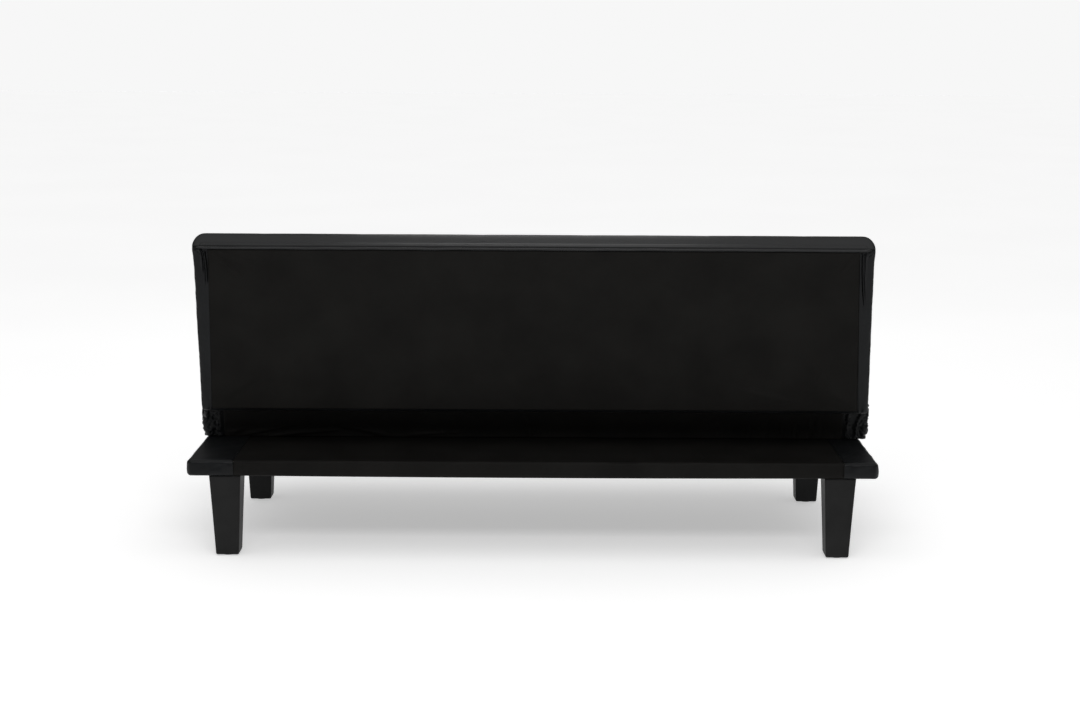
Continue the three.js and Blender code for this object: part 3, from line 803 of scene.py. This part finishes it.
def tube(name, line, radius, material, sides, height=1.0):
    """A round or flattened cord along a smooth line on the back, closed at both ends."""
    ahead = np.gradient(line, axis=0)
    ahead /= np.linalg.norm(ahead, axis=1, keepdims=True)
    up = np.array([0, 0.3, 1.0])
    across = np.cross(ahead, up)
    across /= np.linalg.norm(across, axis=1, keepdims=True)
    lift = np.cross(across, ahead)
    turn = np.linspace(0, 2 * math.pi, sides, endpoint=False)
    ring = across[:, None] * np.cos(turn)[:, None]
    ring = ring + height * lift[:, None] * np.sin(turn)[:, None]
    size = np.zeros(len(line)) + radius
    size[[0, -1]] *= 0.45
    points = (line[:, None] + ring * size[:, None, None]).reshape(-1, 3)
    ids = np.arange(len(points)).reshape(-1, sides)
    faces = tube_quads(ids).tolist() + [ids[0].tolist(), ids[-1][::-1].tolist()]
    return add_piece(name, points, faces, BACK_BODY, material, UPRIGHT)


def pleat_shade_cords(name, side):
    """Near-black cords laid in the pleat grooves: painted shade for the shadow inside each pleat
    where it stands open.
    """
    for number, pleat in enumerate(PLEATS[side], 1):
        reach, shade_radius = pleat[2] * MM, pleat[3] * MM
        if shade_radius == 0:
            continue
        start, end = 8 * MM, 0.85 * reach
        down = steps(start, end, 3 * MM)
        y = WELT_Y + 1 * MM - down
        x = side * (back_half(y, side) + pleat_line(pleat, down))
        shade_here = ramp(start, start + 16 * MM, down) * ramp(end, 0.45 * end, down)
        size = shade_radius * (0.12 + 0.88 * shade_here)
        line = xyz(x, y, REAR_Z - 1.8 * MM)
        made = tube("%s_%d" % (name, number), line, size, PLEAT_SHADE, 12, 0.45)


def top_piping():
    """The welt sewn into the seam under the back's top edge."""
    half = back_half(WELT_Y) - 9 * MM
    x = steps(-half, half, 6 * MM)
    end = ramp(half - 22 * MM, half, np.abs(x))
    y = WELT_Y + 0.35 * MM * ripple(x, 0, 0.11, 21) + 2 * MM * end
    z = REAR_Z - PIPING_RADIUS - 0.5 * MM * end + 0.2 * MM * ripple(x, 0, 0.07, 22)
    made = tube("back_piping", xyz(x, y, z), PIPING_RADIUS, PIPING, 14)
    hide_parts("back_welt")


def top_gather(tree):
    """The edge of the cover above the piping, puckered by its seam near one end."""
    half = back_half(WELT_Y) - 16 * MM
    low, high = WELT_Y + 0.5 * MM, TOP_EDGE_Y + 24 * MM
    x, a, faces = sheet_grid(steps(-half, half, 1.5 * MM), steps(low, high, 1.6 * MM))
    over = np.maximum(a - TOP_EDGE_Y, 0)
    flat = xyz(x, np.minimum(a, TOP_EDGE_Y), REAR_Z + over)
    end = ramp(half - 120 * MM, half - 60 * MM, np.abs(x)) * np.where(x > 0, 1.0, 0.3)
    pucker = 0.5 + 0.5 * np.sin(x * 2 * math.pi / (6 * MM) + 0.8 * ripple(x, 0, 0.04, 31))
    reach = ramp(high, low + 2 * MM, a)
    lift = 0.25 * MM + MM * reach * pucker * (0.06 + 1.6 * end)
    lift *= ramp(high, high - 6 * MM, a) * ramp(half, half - 6 * MM, np.abs(x))
    world = hug(put(flat, UPRIGHT), tree, lift + 0.1 * MM)
    faces = faces[:, ::-1]
    made = add_piece("back_top_gather", world, faces, BACK_BODY, VINYL, FLAT, 0.5 * MM, 0)


# Seat's rear face

def seat_rear_panel():
    """Loose cloth over the seat's rear face, hanging in folds behind the hinge gap."""
    lo, hi = span("seat_rear_cloth")
    low, high = BASE[1][2] + 1.2 * MM, hi[2] + 4 * MM
    x, z, faces = sheet_grid(steps(lo[0], hi[0], 4 * MM), steps(low, high, 2 * MM))
    rise = (z - low) / (high - low)
    slack = ramp(1.0, 0.75, rise) * (0.45 + 0.55 * ramp(0.5, 0.0, rise))
    height = 1.1 * ripple(x, z, 0.16, 41, 0.8) + 0.6 * ripple(x, z * 0.6, 0.05, 42)
    height *= MM
    near, far = (hi[0], low), (-hi[0], low)
    draped = [
        (near, (-60, 26), (-8, 8), 7, 5),
        (near, (-46, 4), (-190, 34), 6, 5),
        (near, (-110, 2), (-330, 22), 6, 4),
        (near, (-250, 40), (-420, 4), 6, 3.5),
        (near, (-460, 6), (-620, 14), 4, 2.5),
    ]
    standing = (  # distance from the panel's far end, slant and height, in millimetres
        (55, 10, 4.5),
        (88, -6, 4.0),
        (118, 9, 4.5),
        (152, 4, 3.5),
        (196, -8, 3.5),
        (235, 6, 4.0),
        (312, 12, 3.0),
        (790, 8, 4.0),
        (1010, 10, 2.0),
    )
    draped += [(far, (at, -14), (at + slant, 62), 6, tall) for at, slant, tall in standing]
    height += folds(x, z, 0.7, draped)
    room = 6.2 * MM + 2.5 * MM * ramp(0.25, 0.0, rise)
    lift = 1.0 * MM + room * np.tanh(np.maximum(height, -0.6 * MM) * slack / room)
    points = xyz(x, SEAT[1][1] + np.maximum(lift, 0.4 * MM), z)
    faces = faces[:, ::-1]
    made = add_piece("seat_rear_panel", points, faces, BASE_BODY, CLOTH, FLAT, 0.6 * MM)
    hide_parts("seat_rear_cloth")


def seat_end_gather(name, side):
    """The seat cover's end bunched round its rear corner, with the hinge's slot in it."""
    low, high = BASE_END[1][2] + 1.2 * MM, PIVOT.z - 1 * MM
    beside = SEAT[1][0] - 1 * MM
    outer = beside - 2 * MM if side > 0 else beside + 8 * MM
    inner = 787 * MM  # just outside the cloth panel
    radius, down_side = 9 * MM, 18 * MM
    rear_run, corner_run = outer - radius - inner, radius * math.pi / 2
    width = rear_run + corner_run + down_side
    s, z, faces = sheet_grid(steps(0, width, 1.4 * MM), steps(low, high, 1.6 * MM))
    turn = np.clip((s - rear_run) / radius, 0, math.pi / 2)
    forward = np.maximum(s - rear_run - corner_run, 0)
    x = inner + np.minimum(s, rear_run) + radius * np.sin(turn)
    foot = ramp(22 * MM, 0, z - low)
    x -= (outer - beside + 5 * MM * foot) * ramp(0, down_side, forward)
    x -= 6 * MM * foot * np.sin(turn)
    y = SEAT[1][1] - radius * (1 - np.cos(turn)) - forward
    flat = xyz(x, y, z)
    edge = np.minimum(np.minimum(s, width - s), high - z)
    tall = (6 + 2 * np.sin(turn)) * MM
    heap = crumple(flat * (1, 1, 0.6), 24 * MM, 6 + side) * 0.8
    heap += crumple(flat, 11 * MM, 9 + side) * 0.35
    lift = MM + ramp(0, 9 * MM, edge) * 1.7 * tall * (heap - 0.45)
    lift = np.clip(lift, 0.4 * MM, tall)
    points = flat + xyz(np.sin(turn), np.cos(turn), 0) * lift[:, None]
    points[:, 0] *= side
    slot_low = PIVOT.z - EYE - 8 * MM
    x, y, z = np.abs(points[faces].mean(1)).T
    in_slot = (x > SLOT_INNER) & (x < SLOT_OUTER) & (z > slot_low) & (y > SEAT[1][1] - radius)
    points, faces = used_only(points, faces[~in_slot])
    made = add_piece(name, points, faces[:, ::-side], BASE_BODY, VINYL, FLAT, 0.8 * MM)


# Platform

def cover_shell(lo, hi, steps_of, radii, is_open):
    """A cover wrapped round a board: a rounded box without the faces that is_open picks."""
    points, faces = box_grid(*[stations(lo[k], hi[k], *steps_of[k]) for k in range(3)])
    opened = is_open(points[faces].mean(1))
    for axes, set_of in zip(((1, 2), (0, 2), (0, 1)), radii):
        points = round_edges(points, axes, lo, hi, set_of)
    return used_only(points, faces[~opened])


LIP = 8 * MM  # cover turned under the platform's edge
TUCK = 5 * MM  # how far the centre cover runs under each vinyl end
EDGE_SWELL = 2.6 * MM  # of the platform's padded edge, fullest low down


def rolled(z, lo, hi):
    """Share of the swelling at each height of the platform's edge."""
    full = lo[2] + 13 * MM
    t = np.where(z > full, (z - full) / (hi[2] - full), (full - z) / (full - lo[2]))
    return 1 - np.square(np.clip(t, 0, 1))


def platform_centre():
    """Cloth wrapped round the middle of the platform and tucked under its vinyl ends."""
    lo, hi = BASE[0].copy(), BASE[1].copy()
    lo[0] -= TUCK
    hi[0] += TUCK

    def is_open(middle):
        ends = (middle[:, 0] < lo[0] + MM / 50) | (middle[:, 0] > hi[0] - MM / 50)
        under = middle[:, 2] < lo[2] + MM / 50
        inside = (middle[:, 1] > lo[1] + LIP) & (middle[:, 1] < hi[1] - LIP)
        return ends | (under & inside)

    grid = (mm(9, 4, 2), mm(9, 12, 1.5), mm(6, 9, 1.5))
    square = mm(0.1, 0.1, 0.1, 0.1)
    radii = (mm(6, 6, 7, 7), square, square)
    points, faces = cover_shell(lo, hi, grid, radii, is_open)
    x, y, z = points.T
    face = ramp(lo[2], lo[2] + 5 * MM, z) * ramp(hi[2], hi[2] - 5 * MM, z)
    rear = ramp(hi[1] - 5 * MM, hi[1], y)
    on_top = ramp(hi[2] - 4 * MM, hi[2], z)
    ease = ramp(0, 30 * MM, np.minimum(hi[0] - x, x - lo[0]))
    bulge = 0.9 * MM * ripple(x, z * 2, 0.12, 51) * ease
    bulge += 0.35 * MM * ripple(x, z, 0.03, 52) * ease
    rise = (hi[2] - lo[2]) / MM  # the folds run from the foot of the edge to its top
    pulled = (
        ((hi[0], lo[2]), (-8, 4), (-50, rise - 3), 4, 2),
        ((hi[0], hi[2]), (-16, -2), (-70, -14), 3, 1.4),
    )
    bulge += folds(x, z, 0.7, pulled)
    tucked = 1.5 * MM * ramp(6 * MM, 4.5 * MM, np.minimum(hi[0] - x, x - lo[0]))
    outward = face * bulge + 0.8 * EDGE_SWELL * rolled(z, lo, hi) - tucked
    points[:, 1] += np.sign(y) * (rear + ramp(lo[1] + 5 * MM, lo[1], y)) * outward
    dip = 0.8 * MM * (0.6 + 0.4 * ripple(x, y, 0.15, 53)) * ease
    dip *= ramp(0, 14 * MM, hi[1] - y)
    points[:, 2] -= on_top * (dip + tucked)
    sag = 2.2 * MM * (1 - np.square(x / hi[0]))
    points[:, 2] -= sag * ramp(hi[2], lo[2], z)
    made = add_piece("platform_cover_centre", points, faces, BASE_BODY, CLOTH, FLAT, 1 * MM)
    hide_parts("base_cover_centre")


def platform_end(name, side):
    """Vinyl wrapped round one end of the platform."""
    lo, hi = span(name.replace("platform_", "base_"))
    lo[0], hi[0] = sorted((abs(lo[0]), abs(hi[0])))

    def is_open(middle):
        joined = middle[:, 0] < lo[0] + MM / 50
        under = middle[:, 2] < lo[2] + MM / 50
        inside = (
            (middle[:, 1] > lo[1] + LIP + 3 * MM)
            & (middle[:, 1] < hi[1] - LIP - 3 * MM)
            & (middle[:, 0] < hi[0] - LIP - 3 * MM)
        )
        return joined | (under & inside)

    grid = (mm(5, 20, 2), mm(6, 20, 2), mm(4, 10, 1.7))
    radii = (mm(6, 6, 9.5, 9.5), mm(0.1, 6, 9.5, 0.1), mm(0.1, 11, 11, 0.1))
    points, faces = cover_shell(lo, hi, grid, radii, is_open)
    x, y, z = points.T
    rear = ramp(hi[1] - 6 * MM, hi[1], y) - ramp(lo[1] + 6 * MM, lo[1], y)
    end = ramp(hi[0] - 6 * MM, hi[0], x)
    tuck = bell(x - lo[0], 5 * MM)
    bulge = EDGE_SWELL * rolled(z, lo, hi) + 0.6 * MM * ripple(x + y, z * 1.5, 0.06, 61 + side)
    bulge += 0.3 * MM * ripple(x + y, z, 0.018, 63 + side)
    points[:, 1] += rear * (bulge - 0.6 * MM * tuck)
    points[:, 0] += end * bulge
    on_top = ramp(hi[2] - 4 * MM, hi[2], z)
    ease = ramp(0, 18 * MM, np.minimum(hi[0] - x, hi[1] - np.abs(y)))
    points[:, 2] -= on_top * ease * (0.5 * MM + 0.4 * MM * ripple(x, y, 0.07, 65 + side))
    points[:, 2] -= on_top * 0.6 * MM * tuck
    points[:, 0] *= side
    made = add_piece(name, points, faces[:, ::side], BASE_BODY, VINYL, FLAT, 1 * MM)
    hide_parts(name.replace("platform_", "base_"))


def dust_sheet():
    """Thin cloth stapled under the platform, sagging a little between its rails."""
    lo, hi = span("base_dust_cloth")
    x, y, faces = sheet_grid(steps(lo[0], hi[0], 10 * MM), steps(lo[1], hi[1], 10 * MM))
    edge = np.minimum(hi[0] - np.abs(x), np.minimum(y - lo[1], hi[1] - y))
    ease = ramp(0, 120 * MM, edge)
    sag = 1.6 * MM * ease + 0.5 * MM * ease * ripple(x, y, 0.17, 71)
    points = xyz(x, y, lo[2] + 1 * MM - sag)
    middle = points[faces].mean(1)
    keep = np.ones(len(faces), bool)
    for place in PLACES:
        plate_lo, plate_hi = (corner[:2] for corner in span("leg_plate_" + place))
        over_plate = (middle[:, :2] > plate_lo - 3 * MM) & (middle[:, :2] < plate_hi + 3 * MM)
        keep &= ~np.all(over_plate, 1)
    points, faces = used_only(points, faces[keep])
    faces = faces[:, ::-1]
    made = add_piece("platform_dust_sheet", points, faces, BASE_BODY, DUST, FLAT, 0.5 * MM)
    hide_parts("base_dust_cloth")


# Legs

FOOT_SHARE = 56 / 76  # width of a leg's foot against its top
LEG_RIM = 2.5 * MM  # strip round a leg's top that stands up to meet the platform
RIM_RISE = 2.4 * MM


def leg(place):
    """A tapered square leg with moulded edges, a small foot bevel and a slightly hollow taper."""
    lo, hi = span("leg_" + place)
    centre = (lo + hi) / 2
    half = (hi - lo)[0] / 2
    foot = half * FOOT_SHARE
    flat = stations(-half, half, 8 * MM, 8 * MM, 1.6 * MM)
    tall = stations(lo[2], hi[2], 8 * MM, 4 * MM, 1.3 * MM)
    points, faces = box_grid(flat, flat, tall)
    box_lo, box_hi = np.array([-half, -half, lo[2]]), np.array([half, half, hi[2]])
    points = round_edges(points, (0, 1), box_lo, box_hi, mm(6, 6, 6, 6))
    rise = (points[:, 2] - lo[2]) / (hi[2] - lo[2])
    narrow = (foot + (half - foot) * rise) / half
    ends = 1 - 0.035 * ramp(3 * MM, 0, points[:, 2] - lo[2])
    hollow = 1 - 0.008 * hump(0, 1, rise)
    rim = np.abs(points[:, :2]).max(1) > half - LEG_RIM
    points[:, 2] += RIM_RISE * (rim & (points[:, 2] > hi[2] - MM / 10))
    points[:, :2] *= (narrow * ends * hollow)[:, None]
    points[:, :2] += centre[:2]
    made = add_piece("leg_shell_" + place, points, faces, BASE_BODY, PLASTIC)
    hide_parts("leg_" + place)


# Camera, floor and light

WALL_LIGHT = 0.1
CEILING_LIGHT = 1.0
BACKDROP = 0.93  # what the camera sees behind the sofa
FLOOR_GLOW = 0.45  # the floor is a lit white table
CAMERA_AT = (-0.0208, 4.5292, 1.2725)
YAW, PITCH, ROLL = 0.001, -0.186, 0.005  # radians
LENS, SENSOR = 59.22, 36  # millimetres
LIGHTS = (  # name, place, what it is aimed at, size in metres and power in watts
    ("key", (0, -3.4, 2.2), (0, 0.2, 0.7), (1.5, 0.8), 7),
    ("fill", (0, 3.6, 3.1), (0, 0.2, 0.45), (3.0, 0.8), 50),
)


def make_camera():
    """Behind the sofa and a little above it."""
    data = bpy.data.cameras.new("camera")
    data.sensor_width = SENSOR
    data.lens = LENS
    camera = add_object("camera", data)
    level = math.cos(PITCH)
    ahead = Vector((math.sin(YAW) * level, -math.cos(YAW) * level, math.sin(PITCH)))
    right = ahead.cross(Vector((0, 0, 1))).normalized()
    up = right.cross(ahead)
    right, up = (
        right * math.cos(ROLL) + up * math.sin(ROLL),
        up * math.cos(ROLL) - right * math.sin(ROLL),
    )
    turn = Matrix((right, up, -ahead)).transposed().to_4x4()
    camera.matrix_world = Matrix.Translation(CAMERA_AT) @ turn
    scene.camera = camera


def make_floor():
    """A wide plain floor."""
    line = steps(-30, 30, 3)
    x, y, faces = sheet_grid(line, line)
    material, tree, shader = new_material("floor", 0.8, 0.1)
    two_tone(tree, shader, grey(0.8), grey(0.82), 1.0)
    shader.inputs["Emission Color"].default_value = (1, 1, 1, 1)
    shader.inputs["Emission Strength"].default_value = FLOOR_GLOW
    add_mesh("floor", xyz(x, y, 0), faces, material)


def area_light(name, place, aim, size, power):
    data = bpy.data.lights.new(name, "AREA")
    data.shape = "RECTANGLE"
    data.size, data.size_y = size
    data.energy = power
    light = add_object(name, data)
    light.location = place
    light.rotation_mode = "QUATERNION"
    light.rotation_quaternion = (Vector(aim) - Vector(place)).to_track_quat("-Z", "Y")


def make_lights():
    """A white studio: the floor and the top of the room are bright, and its walls are dimmer, so
    that black surfaces keep their shape. The camera sees a plain white backdrop."""
    world = bpy.data.worlds.new("studio")
    scene.world = world
    world.use_nodes = True
    tree = world.node_tree
    direction = node(tree, "TexCoord").outputs["Generated"]
    height = node(tree, "SeparateXYZ", Vector=direction).outputs["Z"]
    dome = node(tree, "MapRange", {"interpolation_type": "SMOOTHSTEP"}, Value=height)
    dome.inputs["From Min"].default_value = 0.35
    dome.inputs["From Max"].default_value = 0.95
    dome.inputs["To Min"].default_value = WALL_LIGHT
    dome.inputs["To Max"].default_value = CEILING_LIGHT
    seen = node(tree, "LightPath").outputs["Is Camera Ray"]
    level = node(tree, "Mix", {"data_type": "FLOAT"})
    tree.links.new(seen, level.inputs[0])
    tree.links.new(dome.outputs["Result"], level.inputs[2])
    level.inputs[3].default_value = BACKDROP
    background = tree.nodes["Background"]
    tree.links.new(level.outputs[0], background.inputs["Strength"])
    background.inputs["Color"].default_value = (1, 1, 1, 1)
    for light in LIGHTS:
        area_light(*light)
    scene.view_settings.view_transform = "Standard"


finish_cad()
seat = make_seat()
back = make_back()
seat_tree = surface_of(seat)
back_tree = surface_of(back)
face_stitching("seat_stitching", *SEAT, 1, seat_tree, BASE_BODY, FLAT)
face_stitching("back_stitching", *BACK, 0, back_tree, BACK_BODY, UPRIGHT)
rear_panel()
top_piping()
top_gather(back_tree)
seat_rear_panel()
for name, side in SIDES:
    side_turn("back_side_turn_" + name, side, back_tree)
    # near-black cords of painted shade in the pleat grooves
    pleat_shade_cords("back_pleat_lining_" + name, side)
    seat_end_gather("seat_end_gather_" + name, side)
    platform_end("platform_cover_" + name, side)
platform_centre()
dust_sheet()
for place in PLACES:
    leg(place)
make_camera()
make_floor()
make_lights()
